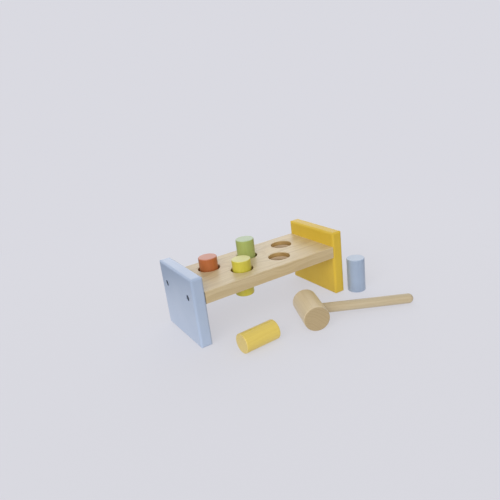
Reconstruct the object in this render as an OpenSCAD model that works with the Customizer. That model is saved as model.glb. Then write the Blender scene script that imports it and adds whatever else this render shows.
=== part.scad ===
// Wooden pounding bench: a deck with five staggered peg holes between two end boards,
// a soft grip ring in each hole, five pegs and a mallet.
// X runs along the bench, the front is at -Y, and Z = 0 is the floor that everything stands on.

/* [Deck] */
// Length of the deck, from one end board to the other
deck_length = 198; // [180:1:230]
// Width of the deck, front to back
deck_width = 97; // [90:0.5:98]
// Thickness of the deck
deck_thickness = 16; // [14:0.5:20]
// Height of the deck's top above the floor
deck_top = 71; // [62:1:76]
// Rounding of the deck's long edges
deck_edge = 1; // [0.5:0.25:2]

/* [End boards] */
// How far an end board stands proud of the deck, at the front and at the back
board_overhang = 0.5; // [0:0.25:6]
// Height of an end board
board_height = 91; // [86:1:110]
// Thickness of an end board
board_thickness = 16; // [14:0.5:20]
// Rounding of all edges of an end board
board_edge = 3; // [1:0.25:4]

/* [Screws] */
// Distance between the two screws of an end board
screw_spacing = 63.5; // [56:0.5:72]
// Length of a screw below its head
screw_length = 36; // [30:1:38]
// Diameter of a screw's shank
screw_d = 4; // [3:0.25:5]
// Diameter of a screw's head
screw_head_d = 7.4; // [6.5:0.1:7.8]
// Thickness of a screw's head
screw_head_h = 2.4; // [2:0.1:2.8]
// Length of a screw's tapered point
screw_point = 6; // [4:0.5:8]
// Diameter of the recess that a screw's head lies in
recess_d = 8; // [8:0.5:10]
// Depth of that recess
recess_depth = 4; // [3:0.25:5]

/* [Peg holes] */
// Diameter of a peg hole
hole_d = 29.4; // [28.4:0.2:31]
// Chamfer at both mouths of a peg hole
hole_chamfer = 0.6; // [0.4:0.1:1.2]
// Distance along the deck from one hole to the next
hole_pitch = 29.5; // [28:0.5:33]
// Distance of each row of holes from the deck's middle line
row_offset = 18.5; // [17:0.5:22]

/* [Grip rings] */
// Height of a grip ring
ring_height = 4; // [3:0.25:5]
// Depth that a ring lies in the groove in the hole's wall
ring_bite = 1.6; // [1:0.1:2.5]
// Rounding of a ring's lip
ring_lip = 0.8; // [0.4:0.1:1]

/* [Pegs] */
// Diameter of a peg
peg_d = 25; // [23:0.5:26]
// Length of a peg
peg_length = 48.5; // [44:0.5:52]
// Rounding of a peg's ends
peg_edge = 1.2; // [0.6:0.1:2]
// How far the orange peg stands above the deck
orange_up = 16; // [6:0.5:24]
// How far the lime peg stands above the deck
lime_up = 14; // [6:0.5:24]
// How far the green peg stands above the deck
green_up = 25; // [6:0.5:26]

/* [Mallet] */
// Diameter of the mallet's head
head_d = 33; // [28:0.5:38]
// Length of the mallet's head
head_length = 56; // [48:1:64]
// Rounding of the head's ends
head_edge = 1.8; // [1:0.1:3]
// Diameter of the handle
handle_d = 13; // [11:0.5:15]
// Distance from the head's middle to the end of the handle
mallet_reach = 139; // [120:1:160]
// Depth of the socket that holds the handle
socket_depth = 24; // [16:1:26]

/* [Places of the loose pieces] */
// Distance from the yellow board's outer face to the middle of the standing blue peg
blue_beside = 16; // [14:0.5:30]
// Place of the standing blue peg, front to back
blue_y = -57; // [-80:1:-40]
// Place of the lying yellow peg along the bench
yellow_x = -57.5; // [-70:0.5:-45]
// Distance from the bench's front to the middle of the lying yellow peg
yellow_before = 40.5; // [30:0.5:60]
// Turn of the lying yellow peg
yellow_turn = 3; // [-10:1:10]
// Place of the mallet's head along the bench
mallet_x = 25; // [20:1:40]
// Distance from the bench's front to the middle of the mallet's head
mallet_before = 37; // [37:1:60]
// Turn of the mallet's handle from the bench's length
mallet_turn = -22; // [-45:0.5:-10]

/* [Fits] */
// Running clearance between a peg and the lip of its grip ring
peg_clearance = 0.05; // [0.02:0.01:0.1]
// Gap round a ring in its groove, a screw in its pilot hole and the handle in its socket
seat_gap = 0.05; // [0.02:0.01:0.1]
// Clearance of a screw's shank in the end board
shank_clearance = 0.2; // [0.1:0.05:0.4]

/* [Hidden] */
$fn = 96;

// Length by which a cutting tool runs past the face that it cuts
overrun = 1;
// Width and depth of the cross in a screw's head
cross_width = 1.1;
cross_depth = 1.3;
// Diameter of the flat at a screw's point
point_d = 0.8;
// Chamfer on the end of the handle that goes into the head
tenon_chamfer = 1;

board_width = deck_width + 2 * board_overhang;
// Holes from left to right, alternately in the back and the front row
hole_places = [for (i = [0:4]) [(i - 2) * hole_pitch, (i % 2 == 0 ? 1 : -1) * row_offset]];
deck_middle = deck_top - deck_thickness / 2;
groove_d = hole_d + 2 * ring_bite;
groove_height = ring_height + 2 * seat_gap;
ring_bore_d = peg_d + 2 * peg_clearance;
ring_outer_d = groove_d - 2 * seat_gap;
bench_end = deck_length / 2 + board_thickness;
bench_front = -board_width / 2;
pilot_depth = screw_length - (board_thickness - recess_depth) + seat_gap;

// The handle slopes down from the lying head until its round end meets the floor
tip_reach = mallet_reach - handle_d / 2;
handle_slope = asin((head_d - handle_d) / 2 / tip_reach);
tip_run = tip_reach * cos(handle_slope);

blue_x = bench_end + blue_beside;
yellow_y = bench_front - yellow_before;
mallet_y = bench_front - mallet_before;

// Middle of the space that the bench and the loose pieces take up together
set_left = -bench_end;
set_right = mallet_x + tip_run * cos(mallet_turn) + handle_d / 2;
set_back = -bench_front;
set_front = mallet_y + tip_run * sin(mallet_turn) - handle_d / 2;
set_middle = [(set_left + set_right) / 2, (set_back + set_front) / 2];

// Moves a piece drawn about the bench's middle into the frame of the whole set
module in_set() {
    translate([-set_middle.x, -set_middle.y, 0]) children();
}

// Flat rectangle with round corners, about its middle
module round_rectangle(size_x, size_y, corner) {
    square([size_x - 2 * corner, size_y], center = true);
    square([size_x, size_y - 2 * corner], center = true);
    for (side_x = [-1, 1], side_y = [-1, 1]) {
        translate([side_x * (size_x / 2 - corner), side_y * (size_y / 2 - corner)]) circle(corner);
    }
}

// Round rod that stands on its end, with both ends rounded
module round_rod(diameter, length, edge) {
    rotate_extrude() {
        square([diameter / 2 - edge, length]);
        translate([0, edge]) square([diameter / 2, length - 2 * edge]);
        for (height = [edge, length - edge]) {
            translate([diameter / 2 - edge, height]) circle(edge);
        }
    }
}

// Board with all its edges rounded, standing across the bench about its middle
module round_board() {
    intersection() {
        rotate([90, 0, 90])
            linear_extrude(board_thickness, center = true)
                round_rectangle(board_width, board_height, board_edge);
        rotate([90, 0, 0])
            linear_extrude(board_width, center = true)
                round_rectangle(board_thickness, board_height, board_edge);
        linear_extrude(board_height, center = true)
            round_rectangle(board_thickness, board_width, board_edge);
    }
}

// Places children at both screws of the left end, pointing along the deck
module at_screws() {
    for (side = [-1, 1]) {
        translate([-bench_end, side * screw_spacing / 2, deck_middle]) rotate([0, 90, 0]) children();
    }
}

// Left end board, with its recessed screw holes
module end_board() {
    difference() {
        translate([-bench_end + board_thickness / 2, 0, board_height / 2]) round_board();
        at_screws() {
            translate([0, 0, -overrun]) cylinder(h = recess_depth + overrun, d = recess_d);
            cylinder(h = board_thickness + overrun, d = screw_d + 2 * shank_clearance);
        }
    }
}

// The two screws of the left end, with heads at the bottom of their recesses
module screw_pair() {
    at_screws() translate([0, 0, recess_depth]) {
        cylinder(h = screw_length - screw_point, d = screw_d);
        translate([0, 0, screw_length - screw_point])
            cylinder(h = screw_point, d1 = screw_d, d2 = point_d);
        difference() {
            translate([0, 0, -screw_head_h]) cylinder(h = screw_head_h, d = screw_head_d);
            for (turn = [0, 90]) {
                rotate([0, 0, turn])
                    translate([0, 0, -screw_head_h])
                        cube([screw_head_d - 2 * cross_width, cross_width, 2 * cross_depth], center = true);
            }
        }
    }
}

// Bore through the deck, with a chamfer at each mouth and a groove half way for the grip ring
module peg_hole() {
    mouth_d = hole_d + 2 * hole_chamfer;
    translate([0, 0, -deck_thickness / 2 - overrun]) cylinder(h = deck_thickness + 2 * overrun, d = hole_d);
    translate([0, 0, -groove_height / 2]) cylinder(h = groove_height, d = groove_d);
    for (face = [0, 180]) {
        rotate([face, 0, 0])
            translate([0, 0, deck_thickness / 2 - hole_chamfer])
                cylinder(h = hole_chamfer, d1 = hole_d, d2 = mouth_d);
    }
}

module deck() {
    color("BurlyWood") in_set() difference() {
        translate([0, 0, deck_middle])
            rotate([90, 0, 90])
                linear_extrude(deck_length, center = true)
                    round_rectangle(deck_width, deck_thickness, deck_edge);
        for (place = hole_places) {
            translate([place.x, place.y, deck_middle]) peg_hole();
        }
        for (end = [0, 180]) {
            rotate([0, 0, end])
                at_screws()
                    translate([0, 0, board_thickness - overrun])
                        cylinder(h = pilot_depth + overrun, d = screw_d + 2 * seat_gap);
        }
    }
}

module end_board_left() {
    color("LightSteelBlue") in_set() end_board();
}

module end_board_right() {
    color("Goldenrod") in_set() rotate([0, 0, 180]) end_board();
}

module screws_left() {
    color("Gray") in_set() screw_pair();
}

module screws_right() {
    color("Gray") in_set() rotate([0, 0, 180]) screw_pair();
}

// Soft ring in the groove of one hole: its rounded lip stands out of the wall and holds the peg
module grip_ring(number) {
    place = hole_places[number - 1];
    color("Tan") in_set()
        translate([place.x, place.y, deck_middle - ring_height / 2 - seat_gap])
            rotate_extrude() {
                translate([ring_bore_d / 2 + ring_lip, 0])
                    square([(ring_outer_d - ring_bore_d) / 2 - ring_lip, ring_height]);
                translate([ring_bore_d / 2, ring_lip]) square([2 * ring_lip, ring_height - 2 * ring_lip]);
                for (height = [ring_lip, ring_height - ring_lip]) {
                    translate([ring_bore_d / 2 + ring_lip, height]) circle(ring_lip);
                }
            }
}

module peg() {
    round_rod(peg_d, peg_length, peg_edge);
}

// Peg in a hole, with its top at the given height above the deck
module standing_peg(number, up) {
    place = hole_places[number - 1];
    in_set() translate([place.x, place.y, deck_top + up - peg_length]) peg();
}

module peg_orange() {
    color("Chocolate") standing_peg(1, orange_up);
}

module peg_lime() {
    color("YellowGreen") standing_peg(2, lime_up);
}

module peg_green() {
    color("DarkSeaGreen") standing_peg(3, green_up);
}

// Lies on the floor in front of the bench
module peg_yellow() {
    color("Khaki") in_set()
        translate([yellow_x, yellow_y, peg_d / 2])
            rotate([0, 90, yellow_turn])
                translate([0, 0, -peg_length / 2]) peg();
}

// Stands on the floor beside the bench
module peg_blue() {
    color("SkyBlue") in_set() translate([blue_x, blue_y, 0]) peg();
}

// Frame of the lying mallet: its head along Y, its handle along X and down to the floor
module in_mallet() {
    in_set()
        translate([mallet_x, mallet_y, head_d / 2])
            rotate([0, 0, mallet_turn])
                rotate([0, handle_slope, 0])
                    children();
}

module mallet_head() {
    color("Wheat") in_mallet() difference() {
        rotate([90, 0, 0]) translate([0, 0, -head_length / 2]) round_rod(head_d, head_length, head_edge);
        translate([head_d / 2 - socket_depth, 0, 0])
            rotate([0, 90, 0])
                cylinder(h = socket_depth + overrun, d = handle_d + 2 * seat_gap);
    }
}

// Round rod glued into the head, with a chamfer at the bottom of the socket and a domed end
module mallet_handle() {
    tenon_end = head_d / 2 - socket_depth;
    color("Wheat") in_mallet() rotate([0, 90, 0]) rotate_extrude() {
        polygon([
            [0, tenon_end],
            [handle_d / 2 - tenon_chamfer, tenon_end],
            [handle_d / 2, tenon_end + tenon_chamfer],
            [handle_d / 2, tip_reach],
            [0, tip_reach]
        ]);
        intersection() {
            translate([0, tip_reach]) circle(handle_d / 2);
            translate([0, tip_reach]) square(handle_d / 2);
        }
    }
}

deck();
end_board_left();
end_board_right();
screws_left();
screws_right();
grip_ring(1);  // grip_ring_1
grip_ring(2);  // grip_ring_2
grip_ring(3);  // grip_ring_3
grip_ring(4);  // grip_ring_4
grip_ring(5);  // grip_ring_5
peg_orange();
peg_lime();
peg_green();
peg_yellow();
peg_blue();
mallet_head();
mallet_handle();
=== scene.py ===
"""Looks of a wooden peg pounding bench, with its five pegs and its mallet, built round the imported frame."""

import math

import bpy
from mathutils import Euler, Matrix, Vector


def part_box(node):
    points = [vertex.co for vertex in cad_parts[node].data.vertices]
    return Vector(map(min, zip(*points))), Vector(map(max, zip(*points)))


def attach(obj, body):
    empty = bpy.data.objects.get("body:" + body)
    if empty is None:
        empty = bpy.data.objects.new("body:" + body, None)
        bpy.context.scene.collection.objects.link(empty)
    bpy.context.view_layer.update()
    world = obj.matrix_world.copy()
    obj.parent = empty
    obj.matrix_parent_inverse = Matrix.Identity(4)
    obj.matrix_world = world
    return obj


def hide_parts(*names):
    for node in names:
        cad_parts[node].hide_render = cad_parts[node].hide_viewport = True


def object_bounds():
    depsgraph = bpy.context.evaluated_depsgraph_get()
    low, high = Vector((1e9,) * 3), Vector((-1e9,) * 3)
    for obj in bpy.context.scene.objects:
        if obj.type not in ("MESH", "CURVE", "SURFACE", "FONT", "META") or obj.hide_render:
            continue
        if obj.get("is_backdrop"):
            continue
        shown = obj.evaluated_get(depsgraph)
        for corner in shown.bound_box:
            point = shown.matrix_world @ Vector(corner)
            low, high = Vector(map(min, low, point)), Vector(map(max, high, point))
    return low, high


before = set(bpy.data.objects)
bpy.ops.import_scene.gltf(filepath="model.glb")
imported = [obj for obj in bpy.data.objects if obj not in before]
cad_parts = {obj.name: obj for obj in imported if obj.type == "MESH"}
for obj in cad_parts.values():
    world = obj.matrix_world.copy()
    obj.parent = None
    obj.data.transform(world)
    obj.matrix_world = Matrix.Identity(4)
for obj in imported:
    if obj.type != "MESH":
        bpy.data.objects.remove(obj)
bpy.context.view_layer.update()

# Deck: a planed plank of pale hardwood with five peg holes bored through it, under a thin clear varnish.
# Long grain shows on its faces and edges, and the walls of the holes cut through it. The hole walls are
# darker, partly as bare bored wood and partly as painted shade inside the holes.


def add_node(tree, kind, inputs=None, **settings):
    """One node, whose inputs take numbers, colours or the outputs of other nodes."""
    made = tree.nodes.new(kind)
    for name, value in settings.items():
        setattr(made, name, value)
    for name, value in (inputs or {}).items():
        if isinstance(value, bpy.types.NodeSocket):
            tree.links.new(value, made.inputs[name])
        else:
            made.inputs[name].default_value = value
    return made


def calculate(tree, operation, first, second=0.0):
    return add_node(tree, "ShaderNodeMath", {0: first, 1: second}, operation=operation).outputs[0]


def scaled(tree, value, share):
    return calculate(tree, "MULTIPLY", value, share)


def vector_step(tree, operation, first, second=(0.0, 0.0, 0.0), output="Vector"):
    return add_node(tree, "ShaderNodeVectorMath", {0: first, 1: second}, operation=operation).outputs[output]


def length_of(tree, vector):
    return vector_step(tree, "LENGTH", vector, output="Value")


def enlarged(tree, vector, factor):
    return add_node(tree, "ShaderNodeVectorMath", {0: vector, "Scale": factor}, operation="SCALE").outputs[0]


def split(tree, vector):
    """The vector's X, Y and Z."""
    return add_node(tree, "ShaderNodeSeparateXYZ", {"Vector": vector}).outputs


def ramp(tree, value, start, end, low=0.0, high=1.0):
    """Value taken smoothly from start and end to low and high."""
    inputs = {"Value": value, "From Min": start, "From Max": end, "To Min": low, "To Max": high}
    return add_node(tree, "ShaderNodeMapRange", inputs, interpolation_type="SMOOTHSTEP").outputs["Result"]


def mix_colours(tree, share, first, second, blend="MIX"):
    """Sockets 6 and 7 of a Mix node take its two colours, and its output 2 is the mixed one."""
    inputs = {0: share, 6: first, 7: second}
    return add_node(tree, "ShaderNodeMix", inputs, data_type="RGBA", blend_type=blend).outputs[2]


def tint(tree, colour, mask, towards, share, blend="MIX"):
    """The colour, taken towards another one where the mask is, at most by the share."""
    return mix_colours(tree, scaled(tree, mask, share), colour, towards, blend)


def plain_noise(tree, place, scale, detail):
    """Noise with scale features per metre."""
    inputs = {"Vector": place, "Scale": scale, "Detail": detail}
    return add_node(tree, "ShaderNodeTexNoise", inputs).outputs["Fac"]


def stretched_noise(tree, place, stretch, detail, output="Fac"):
    """Noise in wood's own directions: stretch is its number of features per millimetre along and across."""
    along, across = stretch
    squeezed = vector_step(tree, "MULTIPLY", place, (along, across, across))
    inputs = {"Vector": squeezed, "Scale": 1.0, "Detail": detail, "Roughness": 0.55}
    return add_node(tree, "ShaderNodeTexNoise", inputs, noise_dimensions="3D").outputs[output]


def emboss(tree, shader, height, strength, depth):
    """Raises and sinks the surface by the height, whose full step is the depth in metres."""
    bump = add_node(tree, "ShaderNodeBump", {"Strength": strength, "Distance": depth, "Height": height})
    tree.links.new(bump.outputs["Normal"], shader.inputs["Normal"])


def new_group(name, inputs, outputs):
    """Empty node group, with its input and output sockets."""
    group = bpy.data.node_groups.new(name, "ShaderNodeTree")
    for socket, kind in inputs.items():
        group.interface.new_socket(socket, in_out="INPUT", socket_type="NodeSocket" + kind)
    for socket, kind in outputs.items():
        group.interface.new_socket(socket, in_out="OUTPUT", socket_type="NodeSocket" + kind)
    return group, group.nodes.new("NodeGroupInput").outputs, group.nodes.new("NodeGroupOutput").inputs


# Place is in metres, with the grain along X and the pith of the tree on the X axis. Ring width is in
# millimetres, and so is wander, which is how far the rings stray from straight lines.
timber, given, result = new_group(
    "timber",
    {"Place": "Vector", "Ring width": "Float", "Wander": "Float", "Seed": "Float"},
    {"Rings": "Float", "Fibres": "Float", "Streaks": "Float", "Pores": "Float", "Tone": "Float"},
)
MM_PER_METRE = 1000.0
WANDER_STRETCH = (0.011, 0.020)
YEAR_DRIFT = 2.4
YEAR_DRIFT_RATE = 0.37
LATE_WOOD_START = 0.3
LATE_WOOD_FULL = 0.9
WEAKEST_YEAR = 0.35
in_mm = enlarged(timber, given["Place"], MM_PER_METRE)
shift = add_node(timber, "ShaderNodeCombineXYZ", {axis: given["Seed"] for axis in "XYZ"}).outputs[0]
tree_place = vector_step(timber, "ADD", in_mm, shift)
stray = stretched_noise(timber, tree_place, WANDER_STRETCH, 2.0, "Color")
stray = enlarged(timber, vector_step(timber, "SUBTRACT", stray, (0.5, 0.5, 0.5)), given["Wander"])
from_pith = vector_step(timber, "MULTIPLY", vector_step(timber, "ADD", in_mm, stray), (0.0, 1.0, 1.0))
years = calculate(timber, "DIVIDE", length_of(timber, from_pith), given["Ring width"])
inputs = {"W": years, "Scale": YEAR_DRIFT_RATE, "Detail": 1.0}
drift = add_node(timber, "ShaderNodeTexNoise", inputs, noise_dimensions="1D").outputs["Fac"]
years = calculate(timber, "ADD", years, scaled(timber, drift, YEAR_DRIFT))
season = calculate(timber, "FRACT", years)
late_wood = scaled(
    timber,
    ramp(timber, season, LATE_WOOD_START, LATE_WOOD_FULL),
    ramp(timber, season, LATE_WOOD_FULL, 1.0, low=1.0, high=0.0),
)
inputs = {"W": calculate(timber, "FLOOR", years)}
year_strength = add_node(timber, "ShaderNodeTexWhiteNoise", inputs, noise_dimensions="1D").outputs["Value"]
year_strength = ramp(timber, year_strength, 0.0, 1.0, low=WEAKEST_YEAR, high=1.0)
timber.links.new(scaled(timber, late_wood, year_strength), result["Rings"])

# Each with its stretch and detail, and the values of its noise at which it starts and is full
LONG_MARKS = {
    "Fibres": ((0.025, 1.3), 3.0, 0.36, 0.66),
    "Streaks": ((0.009, 0.28), 2.0, 0.38, 0.64),
    "Pores": ((0.3, 4.2), 1.0, 0.63, 0.72),
}
for mark, (stretch, detail, start, full) in LONG_MARKS.items():
    marks = stretched_noise(timber, tree_place, stretch, detail)
    timber.links.new(ramp(timber, marks, start, full), result[mark])
TONE_STRETCH = (0.006, 0.02)
timber.links.new(stretched_noise(timber, tree_place, TONE_STRETCH, 1.0), result["Tone"])

# Distance is how far a point lies from the nearest edge, and reach how far wear goes from there, in metres
worn_edge, given, result = new_group(
    "worn_edge", {"Place": "Vector", "Distance": "Float", "Reach": "Float"}, {"Mask": "Float"}
)
SHORTEST_REACH = 0.35
LONGEST_REACH = 1.25
WEAR_FULL = 0.15
patches = plain_noise(worn_edge, given["Place"], scale=160.0, detail=3.0)
patches = ramp(worn_edge, patches, 0.3, 0.7, low=SHORTEST_REACH, high=LONGEST_REACH)
near_edge = calculate(worn_edge, "DIVIDE", given["Distance"], scaled(worn_edge, given["Reach"], patches))
worn_edge.links.new(ramp(worn_edge, near_edge, WEAR_FULL, 1.0, low=1.0, high=0.0), result["Mask"])


def new_material(name):
    """Material with a Principled shader, its tree, the object's own coordinates and the shader node."""
    material = bpy.data.materials.new(name)
    material.use_nodes = True
    tree = material.node_tree
    tree.nodes.clear()
    shader = tree.nodes.new("ShaderNodeBsdfPrincipled")
    output = tree.nodes.new("ShaderNodeOutputMaterial")
    tree.links.new(shader.outputs[0], output.inputs["Surface"])
    coordinates = tree.nodes.new("ShaderNodeTexCoord").outputs
    return material, tree, coordinates, shader


def from_middle(tree, coordinates, middle, turn):
    """Coordinates about a piece's middle, with X along its turned axis."""
    inputs = {"Vector": coordinates["Object"], "Location": middle, "Rotation": turn}
    return add_node(tree, "ShaderNodeMapping", inputs, vector_type="TEXTURE").outputs["Vector"]


def add_timber(tree, place, pith, ring_width, wander, seed):
    """The wood's own pattern. Pith is where the middle of the tree lies from the piece's middle line."""
    placed = vector_step(tree, "SUBTRACT", place, (0.0, *pith))
    made = tree.nodes.new("ShaderNodeGroup")
    made.node_tree = timber
    tree.links.new(placed, made.inputs["Place"])
    for socket, value in (("Ring width", ring_width), ("Wander", wander), ("Seed", seed)):
        made.inputs[socket].default_value = value
    return made.outputs


def box_edge_distance(tree, place, half_size):
    """Distance of a point on a box from the nearest edge of the box."""
    parts = split(tree, vector_step(tree, "SUBTRACT", half_size, vector_step(tree, "ABSOLUTE", place)))
    deepest = calculate(tree, "MAXIMUM", parts["X"], calculate(tree, "MAXIMUM", parts["Y"], parts["Z"]))
    total = calculate(tree, "ADD", parts["X"], calculate(tree, "ADD", parts["Y"], parts["Z"]))
    return calculate(tree, "SUBTRACT", total, deepest)


def add_worn_edge(tree, place, distance, reach):
    """Mask of the rubbed edges."""
    made = tree.nodes.new("ShaderNodeGroup")
    made.node_tree = worn_edge
    tree.links.new(place, made.inputs["Place"])
    tree.links.new(distance, made.inputs["Distance"])
    made.inputs["Reach"].default_value = reach
    return made.outputs["Mask"]


def end_grain(tree, coordinates, axis):
    """Mask of the faces that are cut across the grain."""
    facing = vector_step(tree, "DOT_PRODUCT", coordinates["Normal"], axis, "Value")
    return ramp(tree, calculate(tree, "ABSOLUTE", facing), 0.45, 0.9)


WARM_PATCHES = (1.0, 0.93, 0.80, 1)
PORE_BROWN = (0.34, 0.22, 0.11, 1)
# Colour multiplied into the hole walls: bare bored wood and painted shade inside the holes
BORED_WALL_AND_SHADE = (0.80, 0.66, 0.42, 1)
BARE_EDGE_WEAR = 0.0018
GRAIN_DEPTH = 0.00008


def natural_wood(
    name, middle, turn, grown, figure, edge_distance, light, dark, cut_end, rim, rim_share, inner=None
):
    """Bare pale wood under thin varnish.

    Turn is the Euler turn that takes X along the grain, grown says how the tree grew, and figure is the
    strength of its rings and streaks. The colour of the cut ends is multiplied in.
    """
    material, tree, coordinates, shader = new_material(name)
    place = from_middle(tree, coordinates, middle, turn)
    grain = add_timber(tree, place, **grown)
    axis = Euler(turn).to_matrix() @ Vector((1, 0, 0))
    cut = end_grain(tree, coordinates, axis)
    ring_share = calculate(tree, "ADD", 0.5 * figure, scaled(tree, cut, 0.4))
    colour = mix_colours(tree, scaled(tree, grain["Rings"], ring_share), light, dark)
    colour = tint(tree, colour, grain["Streaks"], dark, share=0.22 * figure)
    colour = tint(tree, colour, grain["Fibres"], dark, share=0.16)
    warm = ramp(tree, grain["Tone"], 0.35, 0.65)
    colour = tint(tree, colour, warm, WARM_PATCHES, share=0.45, blend="MULTIPLY")
    colour = mix_colours(tree, cut, colour, cut_end, "MULTIPLY")
    colour = tint(tree, colour, grain["Pores"], PORE_BROWN, share=0.26)
    worn = add_worn_edge(tree, place, edge_distance(tree, place), BARE_EDGE_WEAR)
    colour = tint(tree, colour, worn, rim, share=rim_share)
    if inner:
        # Hole walls: partly the bored wood's own colour, partly painted shade inside the holes
        colour = mix_colours(tree, inner(tree, coordinates), colour, BORED_WALL_AND_SHADE, "MULTIPLY")
    tree.links.new(colour, shader.inputs["Base Color"])
    shader.inputs["Coat Weight"].default_value = 0.6
    shader.inputs["Coat Roughness"].default_value = 0.32
    rough = calculate(tree, "ADD", 0.46, scaled(tree, grain["Fibres"], 0.10))
    tree.links.new(calculate(tree, "ADD", rough, scaled(tree, cut, 0.12)), shader.inputs["Roughness"])
    height = calculate(tree, "SUBTRACT", scaled(tree, grain["Rings"], 0.5), grain["Pores"])
    height = calculate(tree, "SUBTRACT", height, scaled(tree, grain["Fibres"], 0.5))
    emboss(tree, shader, height, strength=0.5, depth=GRAIN_DEPTH)
    return material


def finish_node(name, material):
    """Gives a CAD node its finished material."""
    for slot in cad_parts[name].material_slots:
        slot.material = material


DECK_LOW, DECK_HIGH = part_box("deck")
DECK_MIDDLE = (DECK_LOW + DECK_HIGH) / 2
DECK_HALF = (DECK_HIGH - DECK_LOW) / 2
WALL_START = 0.0005
WALL_FULL = 0.0015


def deck_edges(tree, place):
    return box_edge_distance(tree, place, DECK_HALF)


def shaded_hole_walls(tree, coordinates):
    """Mask of the deck's hole walls, darkened partly as bored wood and partly as painted shade."""
    slope = calculate(tree, "ABSOLUTE", split(tree, coordinates["Normal"])["Z"])
    upright = ramp(tree, slope, 0.2, 0.6, low=1.0, high=0.0)
    place = from_middle(tree, coordinates, DECK_MIDDLE, (0, 0, 0))
    parts = split(tree, vector_step(tree, "SUBTRACT", DECK_HALF, vector_step(tree, "ABSOLUTE", place)))
    inside = ramp(tree, calculate(tree, "MINIMUM", parts["X"], parts["Y"]), WALL_START, WALL_FULL)
    return calculate(tree, "MULTIPLY", upright, inside)


PALE_RIM = (0.80, 0.70, 0.53, 1)
finish_node(
    "deck",
    natural_wood(
        "natural_wood_deck",
        DECK_MIDDLE,
        turn=(0, 0, 0),
        grown={"pith": (0.012, -0.046), "ring_width": 3.4, "wander": 20.0, "seed": 3.0},
        figure=1.0,
        edge_distance=deck_edges,
        light=(0.645, 0.522, 0.312, 1),
        dark=(0.44, 0.32, 0.145, 1),
        cut_end=(0.80, 0.76, 0.68, 1),
        rim=PALE_RIM,
        rim_share=0.14,
        inner=shaded_hole_walls,
    ),
)

# Grip rings: a soft tan ring sprung into a groove half way down each hole, whose rounded lip holds the peg.
# One ring is spun from its section, with a shallow relief groove on both sides, and copied to each hole.


def select_only(piece):
    bpy.ops.object.select_all(action="DESELECT")
    piece.select_set(True)
    bpy.context.view_layer.objects.active = piece


def settle(piece):
    """Puts the piece's place into its mesh and leaves its object at the origin."""
    select_only(piece)
    bpy.ops.object.transform_apply(location=True, rotation=True, scale=True)


def select_verts(piece, wanted):
    """Selects the vertices that wanted says, in edit mode."""
    bpy.ops.mesh.select_mode(type="VERT")
    bpy.ops.mesh.select_all(action="DESELECT")
    bpy.ops.object.mode_set(mode="OBJECT")
    for vertex in piece.data.vertices:
        vertex.select = wanted(vertex.co)
    bpy.ops.object.mode_set(mode="EDIT")


def copy_piece(piece, name, matrix):
    """A copy with its own mesh, moved by the matrix."""
    made = piece.copy()
    made.data = piece.data.copy()
    made.name = made.data.name = name
    bpy.context.scene.collection.objects.link(made)
    made.data.transform(matrix)
    return made


RINGS = 5
RING_INNER = 0.01255
RING_OUTER = 0.01625
RING_MIDDLE = (RING_INNER + RING_OUTER) / 2
RING_HEIGHT = 0.004
LIP_ROUNDING = 0.0009
LIP_STEPS = 7
BACK_ROUNDING = 0.0003
BACK_STEPS = 3
FACE_CUTS = 9
RELIEF_RADIUS = 0.0137
RELIEF_HALF_WIDTH = 0.0003
RELIEF_HEIGHT_SHARE = 0.86
RING_STEPS = 96
RING_SMOOTH_ANGLE = math.radians(35)
SMALLEST_GAP = 0.00001


def on_ring_face(co):
    return abs(co.z) > RING_HEIGHT / 2 - SMALLEST_GAP


bpy.ops.object.select_all(action="DESELECT")
bpy.ops.mesh.primitive_plane_add(size=1, location=(RING_MIDDLE, 0, 0), rotation=(math.radians(90), 0, 0))
ring = bpy.context.active_object
ring.scale = (RING_OUTER - RING_INNER, RING_HEIGHT, 1)
settle(ring)
bpy.ops.object.mode_set(mode="EDIT")
select_verts(ring, lambda co: co.x < RING_MIDDLE)
bpy.ops.mesh.bevel(offset=LIP_ROUNDING, segments=LIP_STEPS, affect="VERTICES")
select_verts(ring, lambda co: co.x > RING_MIDDLE)
bpy.ops.mesh.bevel(offset=BACK_ROUNDING, segments=BACK_STEPS, affect="VERTICES")
bpy.ops.mesh.select_all(action="SELECT")
bpy.ops.mesh.delete(type="ONLY_FACE")
select_verts(ring, on_ring_face)
bpy.ops.mesh.subdivide(number_cuts=FACE_CUTS)
select_verts(ring, lambda co: on_ring_face(co) and abs(co.x - RELIEF_RADIUS) < RELIEF_HALF_WIDTH)
bpy.ops.transform.resize(value=(1, 1, RELIEF_HEIGHT_SHARE), center_override=(0, 0, 0))
bpy.ops.mesh.select_all(action="SELECT")
bpy.ops.mesh.spin(steps=RING_STEPS, angle=math.radians(360), center=(0, 0, 0), axis=(0, 0, 1))
bpy.ops.mesh.select_all(action="SELECT")
bpy.ops.mesh.remove_doubles(threshold=SMALLEST_GAP)
bpy.ops.mesh.normals_make_consistent(inside=False)
bpy.ops.object.mode_set(mode="OBJECT")
bpy.ops.object.shade_smooth_by_angle(angle=RING_SMOOTH_ANGLE)

RING_TAN = (0.50, 0.375, 0.235, 1)
RING_PALE_TAN = (0.58, 0.445, 0.30, 1)
soft_ring, tree, coordinates, shader = new_material("soft_ring")
clouds = plain_noise(tree, coordinates["Object"], scale=260.0, detail=3.0)
tree.links.new(mix_colours(tree, clouds, RING_TAN, RING_PALE_TAN), shader.inputs["Base Color"])
tree.links.new(ramp(tree, clouds, 0.2, 0.8, low=0.75, high=0.9), shader.inputs["Roughness"])
shader.inputs["Specular IOR Level"].default_value = 0.3
pebbles = plain_noise(tree, coordinates["Object"], scale=2600.0, detail=1.0)
emboss(tree, shader, pebbles, strength=0.35, depth=0.00005)
ring.data.materials.append(soft_ring)
for number in range(1, RINGS + 1):
    node = f"grip_ring_{number}"
    low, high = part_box(node)
    made = copy_piece(ring, f"soft_ring_{number}", Matrix.Translation((low + high) / 2))
    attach(made, "bench")
    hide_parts(node)
bpy.data.objects.remove(ring)

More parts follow.
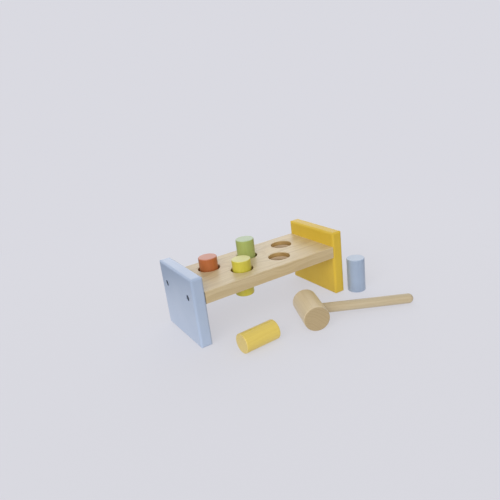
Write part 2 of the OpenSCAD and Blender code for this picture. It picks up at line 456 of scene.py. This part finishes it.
# End boards: two upright boards with softly rounded edges, the left one painted pale blue and the right one
# warm yellow. The grain runs upright and shows faintly through the thin satin paint, which is a little paler
# on the edges.
UPRIGHT = (0, math.radians(-90), 0)
SCREW_SPACING = 0.0635
RECESS_RADIUS = 0.0040
RECESS_MASK_RADIUS = 0.0043
# Painted shade in the screw recesses: its depths below the face, and the share of paint brightness kept
RECESS_SHADE_START = 0.0003
RECESS_SHADE_FULL = 0.0009
RECESS_SHADE = 0.25
PAINTED_EDGE_WEAR = 0.0034
BRUSH_DEPTH = 0.00009


def darker(colour, share):
    """The colour's red, green and blue times the share."""
    return (*[share * part for part in colour[:3]], 1)


def screw_recess_shade_mask(tree, coordinates, low, high):
    """Mask of the painted shade on the screw recesses' walls in an end board, from just below its outer face.
    """
    along, across, up = split(tree, coordinates["Object"])
    aside = calculate(tree, "ABSOLUTE", calculate(tree, "SUBTRACT", across, (low.y + high.y) / 2))
    aside = calculate(tree, "SUBTRACT", aside, SCREW_SPACING / 2)
    upward = calculate(tree, "SUBTRACT", up, DECK_MIDDLE.z)
    from_axis = add_node(tree, "ShaderNodeCombineXYZ", {"X": aside, "Y": upward}).outputs[0]
    near = ramp(tree, length_of(tree, from_axis), RECESS_RADIUS, RECESS_MASK_RADIUS, low=1.0, high=0.0)
    outward = calculate(tree, "ABSOLUTE", calculate(tree, "SUBTRACT", along, DECK_MIDDLE.x))
    outer_face = max(abs(low.x - DECK_MIDDLE.x), abs(high.x - DECK_MIDDLE.x))
    below_face = calculate(tree, "SUBTRACT", outer_face, outward)
    return scaled(tree, near, ramp(tree, below_face, RECESS_SHADE_START, RECESS_SHADE_FULL))


def painted_wood(name, node, paint, shade, pale, gloss, shine, seed):
    """Satin paint on a board whose grain runs upright."""
    material, tree, coordinates, shader = new_material(name)
    low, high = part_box(node)
    centred = from_middle(tree, coordinates, (low + high) / 2, (0, 0, 0))
    place = from_middle(tree, coordinates, (low + high) / 2, UPRIGHT)
    grain = add_timber(tree, place, pith=(0.008, 0.060), ring_width=3.6, wander=10.0, seed=seed)
    cut = end_grain(tree, coordinates, (0, 0, 1))
    coats = plain_noise(tree, place, scale=28.0, detail=3.0)
    colour = tint(tree, paint, ramp(tree, coats, 0.3, 0.7), shade, share=0.35)
    through = calculate(tree, "ADD", scaled(tree, grain["Rings"], 0.12), scaled(tree, grain["Fibres"], 0.08))
    colour = mix_colours(tree, through, colour, shade)
    colour = tint(tree, colour, cut, shade, share=0.12)
    distance = box_edge_distance(tree, centred, (high - low) / 2)
    worn = add_worn_edge(tree, place, distance, PAINTED_EDGE_WEAR)
    colour = tint(tree, colour, worn, pale, share=0.10)
    recesses = screw_recess_shade_mask(tree, coordinates, low, high)
    # Painted shade: the paint in the screw recesses keeps only a quarter of its brightness
    colour = mix_colours(tree, recesses, colour, darker(paint, RECESS_SHADE))
    tree.links.new(colour, shader.inputs["Base Color"])
    shader.inputs["Specular IOR Level"].default_value = shine
    shader.inputs["Coat Weight"].default_value = gloss
    shader.inputs["Coat Roughness"].default_value = 0.16
    rough = calculate(tree, "ADD", 0.34, scaled(tree, coats, 0.12))
    tree.links.new(calculate(tree, "ADD", rough, scaled(tree, worn, 0.08)), shader.inputs["Roughness"])
    skin = plain_noise(tree, coordinates["Object"], scale=620.0, detail=2.0)
    height = calculate(tree, "ADD", scaled(tree, skin, 0.55), scaled(tree, grain["Rings"], 0.35))
    height = calculate(tree, "SUBTRACT", height, scaled(tree, grain["Fibres"], 0.35))
    emboss(tree, shader, height, strength=0.45, depth=BRUSH_DEPTH)
    return material


BLUE_COATS = {
    "paint": (0.42, 0.51, 0.67, 1),
    "shade": (0.375, 0.465, 0.63, 1),
    "pale": (0.54, 0.61, 0.73, 1),
    "gloss": 0.5,
    "shine": 0.5,
    "seed": 11.0,
}
YELLOW_COATS = {
    "paint": (0.71, 0.49, 0.050, 1),
    "shade": (0.63, 0.42, 0.032, 1),
    "pale": (0.76, 0.61, 0.22, 1),
    "gloss": 0.0,
    "shine": 0.35,
    "seed": 17.0,
}
finish_node("end_board_left", painted_wood("blue_paint", "end_board_left", **BLUE_COATS))
finish_node("end_board_right", painted_wood("yellow_paint", "end_board_right", **YELLOW_COATS))

# Screws: two zinc-plated wood screws through each end board into the deck's ends, with cross heads sunk in
# recesses. One is made from a plain shank, a thread, a point and a rounded head with the cross cut into it,
# and is copied.


def combine(piece, tool, operation):
    """Boolean of two closed meshes, which uses up the tool."""
    select_only(piece)
    cut = piece.modifiers.new("combine", "BOOLEAN")
    cut.operation = operation
    cut.solver = "EXACT"
    cut.object = tool
    bpy.ops.object.modifier_apply(modifier="combine")
    bpy.data.objects.remove(tool)


ROD_SIDES = 40


def add_rod(radius, start, end, sides=ROD_SIDES):
    """Closed rod along Z."""
    bpy.ops.object.select_all(action="DESELECT")
    bpy.ops.mesh.primitive_cylinder_add(
        vertices=sides, radius=radius, depth=end - start, location=(0, 0, (start + end) / 2)
    )
    rod = bpy.context.active_object
    settle(rod)
    return rod


THREAD_PITCH = 0.0018
THREAD_TURNS = 10
THREAD_STEPS = 20
THREAD_START = 0.0125
THREAD_END = THREAD_START + THREAD_PITCH * (THREAD_TURNS + 1)
CORE_RADIUS = 0.00135
THREAD_RADIUS = 0.002
THREAD_DEPTH = THREAD_RADIUS - CORE_RADIUS
# Each step out is a share of the thread's depth, and each step up a share of its pitch
THREAD_OUTLINE = ((0, 0.35), (1, 0.25), (0, 0.08), (-1, 0.32))
# A plane merged into one point is where the outline starts
bpy.ops.object.select_all(action="DESELECT")
bpy.ops.mesh.primitive_plane_add(size=0.001, location=(CORE_RADIUS, 0, THREAD_START))
thread = bpy.context.active_object
settle(thread)
bpy.ops.object.mode_set(mode="EDIT")
bpy.ops.mesh.select_all(action="SELECT")
bpy.ops.mesh.merge(type="CENTER")
for out, up in THREAD_OUTLINE:
    step = (out * THREAD_DEPTH, 0, up * THREAD_PITCH)
    bpy.ops.mesh.extrude_region_move(TRANSFORM_OT_translate={"value": step})
bpy.ops.object.mode_set(mode="OBJECT")
turned = thread.modifiers.new("turns", "SCREW")
turned.axis = "Z"
turned.screw_offset = THREAD_PITCH
turned.iterations = THREAD_TURNS
turned.steps = turned.render_steps = THREAD_STEPS
turned.use_merge_vertices = True
turned.merge_threshold = SMALLEST_GAP
bpy.ops.object.modifier_apply(modifier="turns")
bpy.ops.object.mode_set(mode="EDIT")
bpy.ops.mesh.select_all(action="SELECT")
bpy.ops.mesh.remove_doubles(threshold=SMALLEST_GAP)
bpy.ops.mesh.select_all(action="DESELECT")
bpy.ops.mesh.select_mode(type="EDGE")
bpy.ops.mesh.select_non_manifold()
bpy.ops.mesh.edge_face_add()
bpy.ops.mesh.select_all(action="SELECT")
bpy.ops.mesh.quads_convert_to_tris()
bpy.ops.mesh.normals_make_consistent(inside=False)
bpy.ops.object.mode_set(mode="OBJECT")

SCREW_HEAD_RADIUS = 0.0037
SCREW_HEAD_HEIGHT = 0.0024
SCREW_HEAD_SIDES = 64
SCREW_HEAD_ROUNDING = 0.0007
ROUNDING_STEPS = 5
SHANK_RADIUS = 0.0016
SHANK_END = 0.0135
screw = add_rod(SCREW_HEAD_RADIUS, -SCREW_HEAD_HEIGHT, 0.0, SCREW_HEAD_SIDES)
bpy.ops.object.mode_set(mode="EDIT")
select_verts(screw, lambda co: co.z < -SCREW_HEAD_HEIGHT / 2)
bpy.ops.mesh.bevel(offset=SCREW_HEAD_ROUNDING, segments=ROUNDING_STEPS)
bpy.ops.object.mode_set(mode="OBJECT")
combine(screw, add_rod(SHANK_RADIUS, -SCREW_HEAD_HEIGHT / 2, SHANK_END), "UNION")
combine(screw, thread, "UNION")

# The point starts a little thicker than the core, so that their faces never coincide
SCREW_LENGTH = 0.036
POINT_START = THREAD_END - THREAD_PITCH
POINT_EXTRA = 0.00002
POINT_RADIUS = 0.0003
bpy.ops.object.select_all(action="DESELECT")
bpy.ops.mesh.primitive_cone_add(
    vertices=ROD_SIDES,
    radius1=CORE_RADIUS + POINT_EXTRA,
    radius2=POINT_RADIUS,
    depth=SCREW_LENGTH - POINT_START,
    location=(0, 0, (SCREW_LENGTH + POINT_START) / 2),
)
point = bpy.context.active_object
settle(point)
combine(screw, point, "UNION")

CROSS_LENGTH = 0.0052
CROSS_WIDTH = 0.0011
CROSS_DEPTH = 0.0014
CROSS_TAPER = 0.5
for turn in (0, 90):
    bpy.ops.object.select_all(action="DESELECT")
    bpy.ops.mesh.primitive_cube_add(
        size=1, location=(0, 0, -SCREW_HEAD_HEIGHT), rotation=(0, 0, math.radians(turn))
    )
    slot_cutter = bpy.context.active_object
    slot_cutter.scale = (CROSS_LENGTH, CROSS_WIDTH, 2 * CROSS_DEPTH)
    settle(slot_cutter)
    bpy.ops.object.mode_set(mode="EDIT")
    select_verts(slot_cutter, lambda co: co.z > -SCREW_HEAD_HEIGHT)
    bpy.ops.transform.resize(value=(CROSS_TAPER, CROSS_TAPER, 1), center_override=(0, 0, 0))
    bpy.ops.object.mode_set(mode="OBJECT")
    combine(screw, slot_cutter, "DIFFERENCE")

SLIVER_WIDTH = 0.000004
SLIVER_HEIGHT = 0.000002
SCREW_SMOOTH_ANGLE = math.radians(32)
select_only(screw)
bpy.ops.object.mode_set(mode="EDIT")
bpy.ops.mesh.select_all(action="SELECT")
bpy.ops.mesh.remove_doubles(threshold=SLIVER_WIDTH)
bpy.ops.mesh.dissolve_degenerate(threshold=SLIVER_HEIGHT)
bpy.ops.object.mode_set(mode="OBJECT")
bpy.ops.object.shade_smooth_by_angle(angle=SCREW_SMOOTH_ANGLE)

DULL_ZINC = (0.19, 0.195, 0.21, 1)
BRIGHT_ZINC = (0.33, 0.335, 0.355, 1)
screw_steel, tree, coordinates, shader = new_material("screw_steel")
plating = plain_noise(tree, coordinates["Object"], scale=900.0, detail=3.0)
tree.links.new(mix_colours(tree, plating, DULL_ZINC, BRIGHT_ZINC), shader.inputs["Base Color"])
shader.inputs["Metallic"].default_value = 1.0
tree.links.new(ramp(tree, plating, 0.3, 0.7, low=0.28, high=0.48), shader.inputs["Roughness"])
scratches = plain_noise(tree, coordinates["Object"], scale=5200.0, detail=1.0)
emboss(tree, shader, scratches, strength=0.3, depth=0.00002)
screw.data.materials.append(screw_steel)
for side, node in ((1, "screws_left"), (-1, "screws_right")):
    low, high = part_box(node)
    head_x = (low.x if side > 0 else high.x) + side * SCREW_HEAD_HEIGHT
    along_deck = Matrix.Rotation(math.radians(90 * side), 4, "Y")
    pair = []
    for screw_y in (low.y + SCREW_HEAD_RADIUS, high.y - SCREW_HEAD_RADIUS):
        place = Matrix.Translation((head_x, screw_y, (low.z + high.z) / 2))
        pair.append(copy_piece(screw, node, place @ along_deck))
    select_only(pair[0])
    pair[1].select_set(True)
    bpy.ops.object.join()
    pair[0].name = f"wood_{node}"
    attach(pair[0], "bench")
    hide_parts(node)
bpy.data.objects.remove(screw)

# Pegs: 25 mm dowel cut to length with both ends rounded over, stained five colours. The stain is clear enough
# to show the grain, paler and duller on the ends, where the fibres are cut, and along the rubbed rims. On the
# upright pegs the paler tops are also a painted sheen.
PEG_RADIUS = 0.0125
PEG_HALF_LENGTH = 0.02425
STAINED_RIM_WEAR = 0.0020


def rod_edge_distance(tree, place, half_length, radius):
    """Distance of a point on a rod from the rim of its nearer end."""
    to_end = calculate(tree, "SUBTRACT", half_length, calculate(tree, "ABSOLUTE", split(tree, place)["X"]))
    across = length_of(tree, vector_step(tree, "MULTIPLY", place, (0.0, 1.0, 1.0)))
    return calculate(tree, "ADD", to_end, calculate(tree, "SUBTRACT", radius, across))


def stained_wood(name, node, turn, stain, deep, end_and_sheen_colour, seed):
    """Stained dowel. Turn is the Euler turn that takes X along the peg."""
    material, tree, coordinates, shader = new_material(name)
    low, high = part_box(node)
    place = from_middle(tree, coordinates, (low + high) / 2, turn)
    grain = add_timber(tree, place, pith=(0.020, 0.014), ring_width=2.6, wander=7.0, seed=seed)
    axis = Euler(turn).to_matrix() @ Vector((1, 0, 0))
    cut = end_grain(tree, coordinates, axis)
    colour = tint(tree, stain, grain["Rings"], deep, share=0.22)
    colour = tint(tree, colour, grain["Streaks"], deep, share=0.14)
    colour = tint(tree, colour, grain["Fibres"], deep, share=0.12)
    # Paler cut ends, which on the upright pegs' tops are also a painted sheen
    colour = tint(tree, colour, cut, end_and_sheen_colour, share=0.62)
    colour = tint(tree, colour, grain["Pores"], darker(deep, 0.5), share=0.14)
    distance = rod_edge_distance(tree, place, PEG_HALF_LENGTH, PEG_RADIUS)
    worn = add_worn_edge(tree, place, distance, STAINED_RIM_WEAR)
    colour = tint(tree, colour, worn, end_and_sheen_colour, share=0.12)
    tree.links.new(colour, shader.inputs["Base Color"])
    rough = calculate(tree, "ADD", 0.36, scaled(tree, grain["Fibres"], 0.10))
    tree.links.new(calculate(tree, "ADD", rough, scaled(tree, cut, 0.06)), shader.inputs["Roughness"])
    shader.inputs["Coat Weight"].default_value = 0.4
    shader.inputs["Coat Roughness"].default_value = 0.28
    height = calculate(tree, "ADD", scaled(tree, grain["Fibres"], 0.5), grain["Pores"])
    height = calculate(tree, "SUBTRACT", scaled(tree, grain["Rings"], 0.4), height)
    emboss(tree, shader, height, strength=0.5, depth=GRAIN_DEPTH)
    return material


LYING = (0, 0, math.radians(3))
# Each end colour is paler than its stain: cut end grain, and on the upright pegs a painted sheen on the tops
STAINS = {
    "orange": {
        "turn": UPRIGHT,
        "stain": (0.55, 0.166, 0.046, 1),
        "deep": (0.42, 0.105, 0.024, 1),
        "end_and_sheen_colour": (0.57, 0.245, 0.18, 1),
        "seed": 23.0,
    },
    "lime": {
        "turn": UPRIGHT,
        "stain": (0.65, 0.58, 0.062, 1),
        "deep": (0.53, 0.45, 0.032, 1),
        "end_and_sheen_colour": (0.68, 0.67, 0.34, 1),
        "seed": 29.0,
    },
    "green": {
        "turn": UPRIGHT,
        "stain": (0.41, 0.485, 0.145, 1),
        "deep": (0.32, 0.39, 0.090, 1),
        "end_and_sheen_colour": (0.42, 0.54, 0.42, 1),
        "seed": 31.0,
    },
    "yellow": {
        "turn": LYING,
        "stain": (0.76, 0.58, 0.115, 1),
        "deep": (0.62, 0.44, 0.065, 1),
        "end_and_sheen_colour": (0.64, 0.50, 0.20, 1),
        "seed": 37.0,
    },
    "blue": {
        "turn": UPRIGHT,
        "stain": (0.345, 0.43, 0.57, 1),
        "deep": (0.28, 0.36, 0.50, 1),
        "end_and_sheen_colour": (0.52, 0.61, 0.75, 1),
        "seed": 41.0,
    },
}
for colour_name, values in STAINS.items():
    finish_node(f"peg_{colour_name}", stained_wood(f"{colour_name}_stain", f"peg_{colour_name}", **values))

# Mallet: a short thick rod of the deck's pale wood for a head, and a thin rod glued into it for a handle.
# The grain runs along both, the head's flat ends show the cut grain darker, and the handle's end is domed.
MALLET_TURN = math.radians(-22)
MALLET_HEAD_RADIUS = 0.0165
MALLET_HEAD_HALF = 0.028
HANDLE_RADIUS = 0.0065
HANDLE_REACH = 0.139
HANDLE_SLOPE = math.asin((MALLET_HEAD_RADIUS - HANDLE_RADIUS) / (HANDLE_REACH - HANDLE_RADIUS))
MALLET_HEAD_LOW, MALLET_HEAD_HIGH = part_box("mallet_head")
MALLET_MIDDLE = (MALLET_HEAD_LOW + MALLET_HEAD_HIGH) / 2
in_mallet = Euler((0, HANDLE_SLOPE, MALLET_TURN)).to_matrix()
head_turn = (in_mallet @ Matrix.Rotation(math.radians(90), 3, "Z")).to_euler()
handle_turn = in_mallet.to_euler()


def head_rims(tree, place):
    return rod_edge_distance(tree, place, MALLET_HEAD_HALF, MALLET_HEAD_RADIUS)


def handle_rims(tree, place):
    """The handle's length counts from the middle of the head, as its coordinates do."""
    return rod_edge_distance(tree, place, HANDLE_REACH, HANDLE_RADIUS)


finish_node(
    "mallet_head",
    natural_wood(
        "mallet_head_wood",
        MALLET_MIDDLE,
        turn=head_turn,
        grown={"pith": (0.016, -0.030), "ring_width": 2.8, "wander": 9.0, "seed": 43.0},
        figure=0.6,
        edge_distance=head_rims,
        light=(0.71, 0.585, 0.375, 1),
        dark=(0.58, 0.46, 0.27, 1),
        cut_end=(0.62, 0.57, 0.47, 1),
        # The head's rims are taken darker over the band of their rounded edges
        rim=(0.36, 0.29, 0.16, 1),
        rim_share=0.35,
    ),
)
finish_node(
    "mallet_handle",
    natural_wood(
        "mallet_handle_wood",
        MALLET_MIDDLE,
        turn=handle_turn,
        grown={"pith": (0.022, 0.018), "ring_width": 2.4, "wander": 9.0, "seed": 47.0},
        figure=0.8,
        edge_distance=handle_rims,
        light=(0.53, 0.44, 0.28, 1),
        dark=(0.41, 0.31, 0.175, 1),
        cut_end=(0.80, 0.74, 0.64, 1),
        rim=PALE_RIM,
        rim_share=0.14,
    ),
)

# Studio: a pale paper floor that runs into a backdrop of the same colour, under an even white sky. A broad
# soft sun stands in front on the left and a softbox behind on the right, and the camera has the photograph's
# side and height.
BACKDROP = (0.70, 0.70, 0.755, 1)
FLOOR_RADIUS = 30
FLOOR_SIDES = 96
FLOOR_DROP = 0.0002
PAPER = (0.76, 0.76, 0.81, 1)
PAPER_TO_PIECES = (0.74, 0.70, 0.66, 1)
PAST_TABLE = (0.10, 0.10, 0.11, 1)
GLOW_START = 0.20
GLOW_FULL = 0.75
LEAST_GLOW = 0.66
TABLE_END_START = 0.22
TABLE_END_FULL = 0.36
bpy.ops.object.select_all(action="DESELECT")
bpy.ops.mesh.primitive_circle_add(
    vertices=FLOOR_SIDES, radius=FLOOR_RADIUS, fill_type="NGON", location=(0, 0, -FLOOR_DROP)
)
floor = bpy.context.active_object
floor.name = "floor"
floor_paper, tree, coordinates, shader = new_material("floor_paper")
rays = tree.nodes.new("ShaderNodeLightPath").outputs
colour = mix_colours(tree, rays["Is Camera Ray"], PAPER_TO_PIECES, PAPER)
tree.links.new(colour, shader.inputs["Base Color"])
shader.inputs["Roughness"].default_value = 0.9
shader.inputs["Specular IOR Level"].default_value = 0.1
# The backdrop's glow makes up two thirds of the paper near the set, where the rest of it keeps the shadows,
# and all of the paper further out
from_set = length_of(tree, coordinates["Object"])
glow = add_node(tree, "ShaderNodeEmission", {"Color": BACKDROP})
share = ramp(tree, from_set, GLOW_START, GLOW_FULL, low=LEAST_GLOW, high=1.0)
paper = add_node(tree, "ShaderNodeMixShader", {0: share, 1: shader.outputs[0], 2: glow.outputs[0]})
# Only the camera sees the pale paper run on: what the pieces reflect is darker past the edge of the table
unlit = add_node(tree, "ShaderNodeEmission", {"Color": PAST_TABLE})
unseen = calculate(tree, "SUBTRACT", 1.0, rays["Is Camera Ray"])
past_table = scaled(tree, ramp(tree, from_set, TABLE_END_START, TABLE_END_FULL), unseen)
blend = add_node(tree, "ShaderNodeMixShader", {0: past_table, 1: paper.outputs[0], 2: unlit.outputs[0]})
tree.links.new(blend.outputs[0], tree.nodes["Material Output"].inputs["Surface"])
floor.data.materials.append(floor_paper)
floor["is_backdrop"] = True

SKY_STRENGTH = 0.58
world = bpy.data.worlds.new("studio")
bpy.context.scene.world = world
world.use_nodes = True
sky = world.node_tree
sky.nodes.clear()
rays = sky.nodes.new("ShaderNodeLightPath").outputs
seen = calculate(sky, "MAXIMUM", rays["Is Camera Ray"], rays["Is Transmission Ray"])
seen = calculate(sky, "MAXIMUM", seen, rays["Is Glossy Ray"])
lit = add_node(sky, "ShaderNodeBackground", {"Color": (1, 1, 1, 1), "Strength": SKY_STRENGTH})
shown = add_node(sky, "ShaderNodeBackground", {"Color": BACKDROP, "Strength": 1.0})
both = add_node(sky, "ShaderNodeMixShader", {0: seen, 1: lit.outputs[0], 2: shown.outputs[0]})
add_node(sky, "ShaderNodeOutputWorld", {"Surface": both.outputs[0]})

AIM = Vector((0, 0, 0.04))
KEY_PLACE = (-0.65, -0.6, 0.5)
KEY_ENERGY = 1.7
KEY_WIDTH = math.radians(60)
SOFTBOX_PLACE = (0.95, 1.6, 0.85)
SOFTBOX_SIZE = 2.0
SOFTBOX_ENERGY = 10.0


def aim(lamp):
    lamp.rotation_euler = (AIM - lamp.location).to_track_quat("-Z", "Y").to_euler()


bpy.ops.object.select_all(action="DESELECT")
bpy.ops.object.light_add(type="SUN", location=KEY_PLACE)
key_light = bpy.context.active_object
key_light.name = "key_light"
key_light.data.energy = KEY_ENERGY
key_light.data.angle = KEY_WIDTH
aim(key_light)
bpy.ops.object.select_all(action="DESELECT")
bpy.ops.object.light_add(type="AREA", location=SOFTBOX_PLACE)
back_softbox = bpy.context.active_object
back_softbox.name = "back_softbox"
back_softbox.data.shape = "SQUARE"
back_softbox.data.size = SOFTBOX_SIZE
back_softbox.data.energy = SOFTBOX_ENERGY
aim(back_softbox)

CAMERA_PLACE = (-0.3234, -0.4828, 0.3005)
SENSOR_WIDTH = 36.0
FOCAL_LENGTH = 34.56
VIEW_AZIMUTH = math.radians(-29.55)
VIEW_ELEVATION = math.radians(19.52)
VIEW_ROLL = math.radians(-7)
bpy.ops.object.select_all(action="DESELECT")
bpy.ops.object.camera_add(location=CAMERA_PLACE)
camera = bpy.context.active_object
camera.name = "camera"
camera.data.sensor_width = SENSOR_WIDTH
camera.data.lens = FOCAL_LENGTH
facing = Matrix.Rotation(VIEW_AZIMUTH, 3, "Z") @ Matrix.Rotation(math.radians(90) - VIEW_ELEVATION, 3, "X")
camera.rotation_euler = (facing @ Matrix.Rotation(VIEW_ROLL, 3, "Z")).to_euler()
bpy.context.scene.camera = camera
bpy.context.scene.view_settings.view_transform = "Standard"

low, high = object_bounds()
